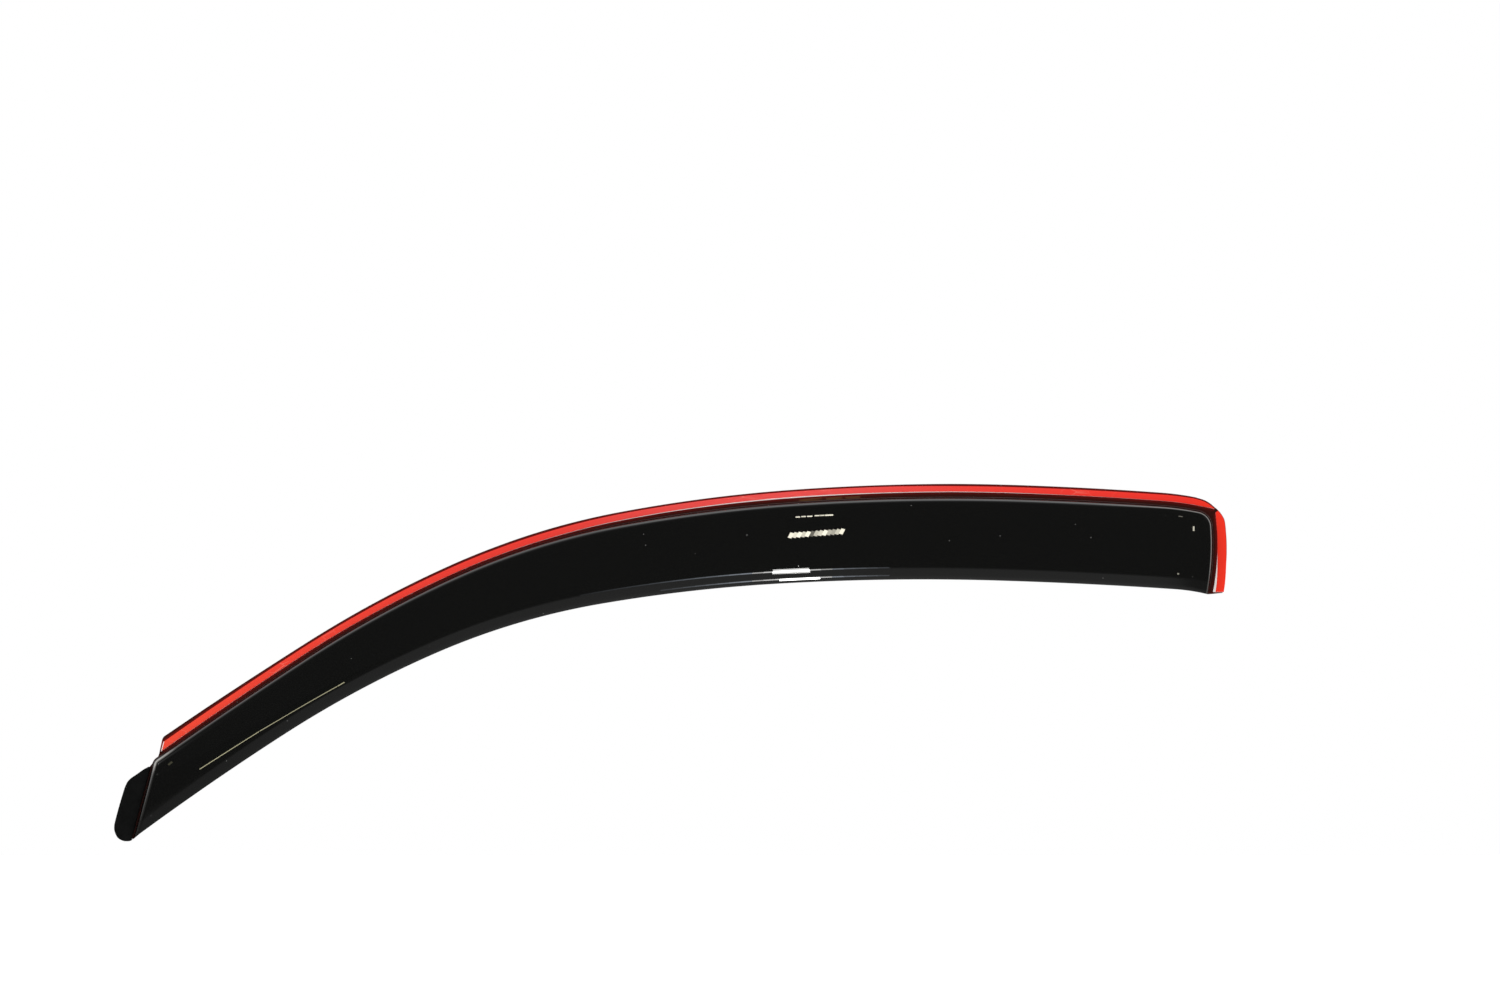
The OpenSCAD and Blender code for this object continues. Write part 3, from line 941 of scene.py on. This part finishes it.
def grainGroup(look):
    # fine moulded grain of the rubber pad, a little uneven
    group, into, out = newGroup("rubberGrain", ("Color", "Height"), Base=(0.009, 0.01, 0.01, 1),
                                Worn=(0.016, 0.017, 0.017, 1))
    fine = noiseAt(group, into["Vector"], *look["fineNoise"])
    broad = noiseAt(group, into["Vector"], *look["broadNoise"])
    fineShare, broadShare = look["shares"]
    mixed = scaled(group, fine, fineShare, mathNode(group, "MULTIPLY", broad, broadShare))
    worn = rampMask(group, mixed, *look["wornRamp"])
    feed(group, out, {"Color": colourMix(group, worn, into["Base"], into["Worn"]), "Height": fine})
    return group


def newMaterial(name):
    mat = bpy.data.materials.new(name)
    mat.use_nodes = True
    tree = mat.node_tree
    return mat, tree, tree.nodes["Principled BSDF"], addNode(tree, "ShaderNodeTexCoord").outputs["Object"]


def useGroup(tree, group, vector, **values):
    return addNode(tree, "ShaderNodeGroup", {"Vector": vector, **values}, node_tree=group).outputs


def bumped(tree, height, strength, distance):
    values = {"Strength": strength, "Distance": distance, "Height": height}
    return addNode(tree, "ShaderNodeBump", values).outputs["Normal"]


smokeFinish = {
    "panel": (0.0036, 0.0037, 0.0034, 1),
    # flange: painted light through the thin sheet, lighter and redder than the panel in shade
    "flange": (0.034, 0.005, 0.003, 1),
    # the tapes' red as a painted glow on the flange beside them
    "paintedRedGlow": (0.20, 0.008, 0.007, 1),
    # the colour of the pale painted highlight on the brow's rounding
    "browHighlight": (0.40, 0.39, 0.365, 1),
    "dust": (0.10, 0.10, 0.095, 1),
    "dustScale": 90.0,
    "dustSize": 0.05,
    "dustShare": 0.8,
    "dustRoughness": 0.5,
    "roughness": 0.012,
    "hazeRoughness": 0.03,
    "ior": 1.49,
    "waveStrength": 0.25,
    "waveDistance": 0.0004,
}


def smokeMaterial(look):
    mat, tree, shader, place = newMaterial("smokeAcrylic")

    def attribute(name):
        return addNode(tree, "ShaderNodeAttribute", attribute_name=name).outputs["Fac"]

    # painted light through the flange, then the tapes' painted red glow, then the brow's painted highlight
    tone = colourMix(tree, attribute("paintedFlangeLight"), look["panel"], look["flange"])
    tone = colourMix(tree, attribute("paintedTapeGlow"), tone, look["paintedRedGlow"])
    tone = colourMix(tree, attribute("browScuff"), tone, look["browHighlight"])
    dust = useGroup(tree, dustGroup(dustMarks), place, Scale=look["dustScale"], Size=look["dustSize"])
    dusty = mathNode(tree, "MULTIPLY", dust["Specks"], look["dustShare"])
    rough = scaled(tree, dust["Haze"], look["hazeRoughness"] - look["roughness"], look["roughness"])
    wave = useGroup(tree, waveGroup(sheetMarks), place)
    feed(tree, shader, {"Base Color": colourMix(tree, dusty, tone, look["dust"]),
                        "Roughness": scaled(tree, dust["Specks"], look["dustRoughness"], rough),
                        "IOR": look["ior"],
                        "Normal": bumped(tree, wave["Height"], look["waveStrength"], look["waveDistance"])})
    return mat


linerLook = {
    # the film's colour by X in metres: orange red toward the ends, and a pinkish painted sheen along the
    # middle
    "tonesAndSheen": [(-0.45, (0.90, 0.065, 0.030)), (-0.35, (0.89, 0.050, 0.026)), (-0.12, (0.87, 0.040, 0.026)),
              (0.0, (0.84, 0.066, 0.060)), (0.16, (0.84, 0.070, 0.064)), (0.26, (0.88, 0.042, 0.030)),
              (0.45, (0.89, 0.026, 0.014)), (0.472, (0.90, 0.026, 0.006))],
    "shade": (0.98, 0.90, 0.86, 1),
    "pale": (0.92, 0.34, 0.26, 1),
    "specular": 0.22,
    "creaseStrength": 0.6,
    "topDepth": 0.00006,
    "rearDepth": 0.00025,
}


def toneRamp(tree, place, tonesAndSheen):
    # colours along X, straight between the stops
    low, high = tonesAndSheen[0][0], tonesAndSheen[-1][0]
    ramp = addNode(tree, "ShaderNodeValToRGB", {0: rampMask(tree, axesOf(tree, place)["X"], low, high)})
    stops = ramp.color_ramp.elements
    stops[0].color, stops[-1].color = tonesAndSheen[0][1] + (1,), tonesAndSheen[-1][1] + (1,)
    for x, tone in tonesAndSheen[1:-1]:
        stops.new((x - low) / (high - low)).color = tone + (1,)
    return ramp.outputs["Color"]


def linerMaterial(name, group, look, depth):
    mat, tree, shader, place = newMaterial(name)
    # the pinkish middle of this ramp is a painted sheen
    tone = toneRamp(tree, place, look["tonesAndSheen"])
    film = useGroup(tree, group, place, Tone=tone, Shade=look["shade"], Pale=look["pale"])
    feed(tree, shader, {"Base Color": film["Color"], "Roughness": film["Roughness"],
                        "Specular IOR Level": look["specular"],
                        "Normal": bumped(tree, film["Height"], look["creaseStrength"], depth)})
    return mat


foamLook = {"ground": (0.90, 0.82, 0.79, 1), "pore": (0.66, 0.54, 0.51, 1), "roughness": 0.85,
            "bump": (0.4, 0.0001)}


def foamMaterial(look):
    mat, tree, shader, place = newMaterial("foamTape")
    cells = useGroup(tree, cellGroup(cellMarks), place, Ground=look["ground"], Pore=look["pore"])
    feed(tree, shader, {"Base Color": cells["Color"], "Roughness": look["roughness"],
                        "Normal": bumped(tree, cells["Height"], *look["bump"])})
    return mat


padLook = {"base": (0.0030, 0.0032, 0.0031, 1), "worn": (0.0056, 0.0060, 0.0058, 1), "roughness": 0.74,
           "specular": 0.10, "bump": (0.5, 0.00015)}


def padMaterial(look):
    mat, tree, shader, place = newMaterial("padRubber")
    grain = useGroup(tree, grainGroup(grainMarks), place, Base=look["base"], Worn=look["worn"])
    feed(tree, shader, {"Base Color": grain["Color"], "Roughness": look["roughness"],
                        "Specular IOR Level": look["specular"],
                        "Normal": bumped(tree, grain["Height"], *look["bump"])})
    return mat


filmTone = filmGroup(filmMarks)
foamTape = foamMaterial(foamLook)
finishes = [
    (smokeShell, smokeMaterial(smokeFinish)),
    (topLiner, linerMaterial("topLinerRed", filmTone, linerLook, linerLook["topDepth"])),
    (rearLiner, linerMaterial("rearLinerRed", filmTone, linerLook, linerLook["rearDepth"])),
    (topFoam, foamTape),
    (rearFoam, foamTape),
    (padBody, padMaterial(padLook)),
]
for piece, material in finishes:
    piece.data.materials.append(material)
print("materials set")

# Light: a dark room on the camera's side and a bright ring round the part, with broad soft lamps.

lamps = {
    "aim": (0.0, 0.0, -0.1),
    # name, place, width and height, radiance
    "rows": [
        ("topBox", (0.3, -0.7, 3.0), (1.8, 1.0), 1.2),
        ("leftBox", (-3.2, -1.0, 1.2), (1.0, 1.4), 0.8),
        ("rightBox", (3.2, -1.0, 1.2), (1.0, 1.4), 0.8),
        ("backBox", (0.0, 2.6, 1.8), (2.0, 1.2), 1.0),
    ],
}


def addArea(name, place, axes, size, radiance, colour=(1, 1, 1), beam=180):
    data = bpy.data.lights.new(name, "AREA")
    data.shape = "RECTANGLE"
    data.size, data.size_y = size
    data.color = colour
    data.spread = math.radians(beam)
    half = data.spread / 2
    # a narrow beam's gain straight ahead
    focus = math.tan(half) / (math.tan(half) - half) if beam < 180 else 1
    data.energy = radiance * math.pi * size[0] * size[1] / focus
    lamp = bpy.data.objects.new(name, data)
    lamp.matrix_world = Matrix.Translation(place) @ Matrix(axes).transposed().to_4x4()
    lamp.visible_camera = False
    bpy.context.scene.collection.objects.link(lamp)
    return lamp


for name, place, size, radiance in lamps["rows"]:
    zAxis = (Vector(place) - Vector(lamps["aim"])).normalized()
    xAxis = Vector((0, 0, 1)).cross(zAxis).normalized()
    addArea(name, place, (xAxis, zAxis.cross(xAxis), zAxis), size, radiance)

# Small lamps, each set where the camera sees it mirrored at a chosen spot of the panel.

warm = (1.0, 0.95, 0.78)
cool = (0.80, 0.88, 1.0)
white = (1.0, 1.0, 0.98)
yellow = (1.0, 0.95, 0.60)
tan = (1.0, 0.62, 0.20)
mirrored = {
    "aimY": -0.01,
    "thinnest": 0.0005,
    # how far from the shell a kind of lamp stands, in metres, and how wide its beam is, in degrees
    "stand": {"dash": (0.04, 50), "line": (0.05, 50), "rearSpot": (0.05, 50), "frontSpot": (0.05, 50),
              "flangeStreak": (0.02, 50), "slat": (0.05, 50), "crease": (0.15, 50), "lip": (0.15, 24)},
    # name, X and Z of the spot's middle in mm, its length and thickness, its tilt, radiance, colour
    "rows": [
        ("dashA", 110.0, -7.9, 3.9, 1.0, 2.5, 24, warm),
        ("dashB", 115.0, -7.5, 4.2, 1.0, 2.5, 20, warm),
        ("dashC", 120.4, -7.3, 4.6, 1.0, 2.5, 24, warm),
        ("dashD", 126.8, -6.7, 4.4, 1.0, 2.5, 22, warm),
        ("dashE", 131.4, -6.5, 3.9, 1.0, 2.5, 20, warm),
        ("dashF", 137.3, -6.3, 7.0, 1.1, 2.5, 26, warm),
        ("lineA", -386.5, -211.7, 61.5, 0.6, 32.4, 12, yellow),
        ("lineB", -326.2, -175.4, 78.0, 0.6, 30.0, 10, yellow),
        ("lineC", -289.0, -154.0, 7.0, 0.8, 29.8, 10, yellow),
        ("rearSpotA", 455.7, -18.1, 1.4, 4.0, 0, 15, warm),
        ("rearSpotB", 442.2, -57.5, 1.6, 1.3, 0, 7, warm),
        ("rearSpotC", 444.3, -7.4, 3.5, 0.7, -8, 4, warm),
        ("frontSpotA", -438.2, -223.1, 4.4, 1.7, 40, 1.2, yellow),
        ("frontSpotB", -449.5, -232.7, 1.5, 1.5, 0, 0.4, white),
        ("frontSpotC", -454.8, -268.6, 1.5, 1.5, 0, 0.4, white),
        ("flangeStreakA", 121.1, 6.6, 20.0, 0.7, 2, 1.3, tan),
        ("flangeStreakB", 141.7, 7.8, 14.0, 0.7, 2, 1.3, tan),
        ("flangeStreakC", 157.9, 8.6, 13.0, 0.7, 2, 1.1, tan),
    ],
    # bands that follow the lower edge: distance from it, thickness, radiance by X, and the bright core's
    # X from, X to, thickness and radiance
    "bands": {
        "crease": (10.5, 1.1, [(-80, 0.3), (-20, 1.2), (10, 2.6), (40, 4.2), (70, 8), (86, 18), (122, 18),
                               (136, 8), (150, 4), (190, 1)], (88, 120, 4.2, 100)),
        "lip": (3.7, 1.0, [(-10, 0.8), (15, 1.8), (40, 3.6), (70, 8), (92, 18), (130, 18), (143, 8),
                           (156, 4), (190, 1)], (94, 129, 3.3, 200)),
    },
    "bandStep": 10,
    "whiteFrom": 8,  # radiance from which a band is white, not cool
    # slats side by side: first middle X, Z there, pitch, tilt of the row, slant and size of a slat
    "slatRow": (103.9, -24.0, 3.72, 4.5, 32, (5.1, 3.2)),
    "slats": (26, 22, 28, 18, 28, 4, 15, 19, 28, 13, 11, 17, 26),
}


def mirrorPlace(tree, x, z, reach):
    # where the camera's ray goes from the shell, near a point given in mm: the lamp's place and the way to it
    eye = Vector(cameraView["place"])
    way = (Vector((x / 1000, mirrored["aimY"], z / 1000)) - eye).normalized()
    spot, flat, index, far = tree.ray_cast(eye, way)
    if spot is None:
        return None
    corners = [smokeShell.data.vertices[v] for v in smokeShell.data.polygons[index].vertices]
    shares = poly_3d_calc([c.co for c in corners], spot)
    normal = sum((c.normal * f for c, f in zip(corners, shares)), Vector()).normalized()
    out = way.reflect(normal)
    return spot + out * reach, out


def addMirrored(tree, name, x, z, length, thick, tilt, radiance, colour):
    a = math.radians(tilt)
    reach, beam = next(value for label, value in mirrored["stand"].items() if name.startswith(label))
    along = (math.cos(a) * length / 2, math.sin(a) * length / 2)
    up = (-math.sin(a) * thick / 2, math.cos(a) * thick / 2)
    found = [mirrorPlace(tree, x + k * ux, z + k * uz, reach)
             for k, (ux, uz) in ((0, up), (-1, along), (1, along), (-1, up), (1, up))]
    if None in found:
        print("no spot for", name)
        return
    middle, left, right, below, above = [at for at, out in found]
    across, rise = right - left, above - below
    wide = across.length > rise.length
    place = (left + right if wide else below + above) / 2
    zAxis = (place - middle + found[0][1] * reach).normalized()  # the lamp faces its spot
    across, rise = across - across.project(zAxis), rise - rise.project(zAxis)
    xAxis = across.normalized() if wide else rise.cross(zAxis).normalized()
    yAxis = zAxis.cross(xAxis)
    size = (abs(across.dot(xAxis)), max(abs(rise.dot(yAxis)), mirrored["thinnest"]))
    lamp = addArea(name, place, (xAxis, yAxis, zAxis), size, radiance, colour, beam)
    lamp.visible_diffuse = False  # a glint only, it lights nothing


def lowPlace(x, inset):
    # the point at a distance inward from the lower edge, and the edge's slope there
    near, far = 0.0, lowEnd
    for _ in range(30):
        s = (near + far) / 2
        ex, ez, head = lowEdge.at(s)
        a = math.radians(head)
        ex, ez = ex - inset * math.sin(a), ez + inset * math.cos(a)
        near, far = (s, far) if ex < x else (near, s)
    return ex, ez, head


def addBand(tree, label, inset, thick, table, core):
    marks = ladder(table[0][0], table[-1][0], mirrored["bandStep"])
    parts = [(x0, x1, thick, lookUp((x0 + x1) / 2, table)) for x0, x1 in zip(marks, marks[1:])]
    for k, (x0, x1, deep, radiance) in enumerate(parts + [core]):
        x, z, head = lowPlace((x0 + x1) / 2, inset)
        length = (x1 - x0) / math.cos(math.radians(head))
        colour = cool if radiance < mirrored["whiteFrom"] else white
        addMirrored(tree, label + str(k), x, z, length, deep, head, radiance, colour)


def addSlats(tree):
    firstX, firstZ, pitch, tilt, slant, (length, thick) = mirrored["slatRow"]
    for k, radiance in enumerate(mirrored["slats"]):
        x, z = firstX + k * pitch, firstZ + k * pitch * math.tan(math.radians(tilt))
        addMirrored(tree, "slat" + str(k), x, z, length, thick, tilt + 90 - slant, radiance, warm)


shell = smokeShell.data
mirrorTree = BVHTree.FromPolygons([v.co for v in shell.vertices], [list(p.vertices) for p in shell.polygons])
for row in mirrored["rows"]:
    addMirrored(mirrorTree, *row)
for label, band in mirrored["bands"].items():
    addBand(mirrorTree, label, *band)
addSlats(mirrorTree)
print("lamps set", len(bpy.data.lights))

studio = {
    "roomDiffuse": 1.06,
    # brightness that mirrors see, by how far a direction is off the part's face: 1 is straight out
    "ring": [(0.0, 2.3), (0.20, 2.0), (0.45, 0.9), (0.62, 0.50), (0.76, 0.28), (0.88, 0.10), (1.0, 0.07)],
    "sideFlagZ": (0.08, 0.2),
    "sideFlagX": (-0.9, -0.75),
    "sideFlag": 0.1,
}


def curveNode(tree, value, table, reach=1):
    # a drawn curve through the table; the position is divided by reach and the value by the table's peak
    node = addNode(tree, "ShaderNodeFloatCurve", {"Value": mathNode(tree, "DIVIDE", value, reach)})
    curve = node.mapping.curves[0]
    peak = max(y for x, y in table)
    points = [(x / reach, y / peak) for x, y in table]
    curve.points[0].location, curve.points[1].location = points[0], points[-1]
    for x, y in points[1:-1]:
        curve.points.new(x, y)
    node.mapping.update()
    return mathNode(tree, "MULTIPLY", node.outputs[0], peak)


def makeWorld(look):
    world = bpy.data.worlds.new("whiteRoom")
    bpy.context.scene.world = world
    world.use_nodes = True
    tree = world.node_tree
    tree.nodes.clear()
    ray = addNode(tree, "ShaderNodeLightPath").outputs
    way = axesOf(tree, addNode(tree, "ShaderNodeTexCoord").outputs["Generated"])
    ring = curveNode(tree, mathNode(tree, "ABSOLUTE", way["Y"]), look["ring"])
    # it is dark past the front end near the horizon, so that the flange keeps its edge seen from the rear
    aside = mathNode(tree, "MAXIMUM", rampMask(tree, way["Z"], *look["sideFlagZ"]),
                     rampMask(tree, way["X"], *look["sideFlagX"]))
    ring = mathNode(tree, "MULTIPLY", ring, mathNode(tree, "MAXIMUM", aside, look["sideFlag"]))
    level = look["roomDiffuse"]
    seen = addNode(tree, "ShaderNodeBackground", {"Color": (1, 1, 1, 1)}).outputs[0]
    glossy = addNode(tree, "ShaderNodeBackground", {"Color": (1, 1, 1, 1), "Strength": ring}).outputs[0]
    soft = addNode(tree, "ShaderNodeBackground", {"Color": (level, level, level, 1)}).outputs[0]
    lit = mixShaders(tree, ray["Is Glossy Ray"], soft, glossy)
    addNode(tree, "ShaderNodeOutputWorld", {"Surface": mixShaders(tree, ray["Is Camera Ray"], lit, seen)})


makeWorld(studio)

floorPaper = {
    "z": -0.46,
    "corners": ((-5, -6), (5, 5)),
    "colours": ((0.86, 0.86, 0.85, 1), (0.88, 0.88, 0.87, 1)),
    "fibreNoise": (3.0, 3.0),
    "fibreRamp": (0.3, 0.7),
    "roughness": 0.9,
    # its own light for the camera, near the part and far off, and between which distances it grows
    "lift": (0.02, 0.35),
    "liftRamp": (0.5, 3.0),
    # how bright it looks in a mirror: by how far it lies before the part, in metres, and along X
    "mirror": [(0.0, 0.42), (0.3, 0.37), (0.6, 0.27), (1.0, 0.12), (1.5, 0.03)],
    "mirrorSide": (0.75, 0.45),
    "mirrorSideX": (-0.6, 0.05),
}


def makeFloor(look):
    (x0, y0), (x1, y1), z = *look["corners"], look["z"]
    mesh = bpy.data.meshes.new("paleFloor")
    mesh.from_pydata([(x0, y0, z), (x1, y0, z), (x1, y1, z), (x0, y1, z)], [], [[0, 1, 2, 3]])
    floor = bpy.data.objects.new("paleFloor", mesh)
    bpy.context.scene.collection.objects.link(floor)
    mat, tree, shader, place = newMaterial("floorPaper")
    fibre = rampMask(tree, noiseAt(tree, place, *look["fibreNoise"]), *look["fibreRamp"])
    paper = colourMix(tree, fibre, *look["colours"])
    feed(tree, shader, {"Base Color": paper, "Roughness": look["roughness"]})
    ray = addNode(tree, "ShaderNodeLightPath").outputs
    flat = stretched(tree, place, (1.0, 1.0, 0.0))
    away = addNode(tree, "ShaderNodeVectorMath", {0: flat}, operation="LENGTH").outputs["Value"]
    near, far = look["lift"]
    lift = scaled(tree, rampMask(tree, away, *look["liftRamp"]), far - near, near)
    spot = axesOf(tree, place)
    before = mathNode(tree, "MULTIPLY", spot["Y"], -1.0, True)
    side = scaled(tree, rampMask(tree, spot["X"], *look["mirrorSideX"]), *look["mirrorSide"])
    mirror = mathNode(tree, "MULTIPLY", curveNode(tree, before, look["mirror"], look["mirror"][-1][0]), side)
    glow, lifted = (addNode(tree, "ShaderNodeEmission", {"Strength": s}).outputs[0] for s in (mirror, lift))
    both = addNode(tree, "ShaderNodeAddShader", {0: shader.outputs[0], 1: lifted}).outputs[0]
    lit = mixShaders(tree, ray["Is Camera Ray"], shader.outputs[0], both)
    lit = mixShaders(tree, ray["Is Glossy Ray"], lit, glow)
    feed(tree, tree.nodes["Material Output"], {"Surface": lit})
    mesh.materials.append(mat)


makeFloor(floorPaper)
bpy.context.scene.view_settings.view_transform = "Standard"
print("light set")
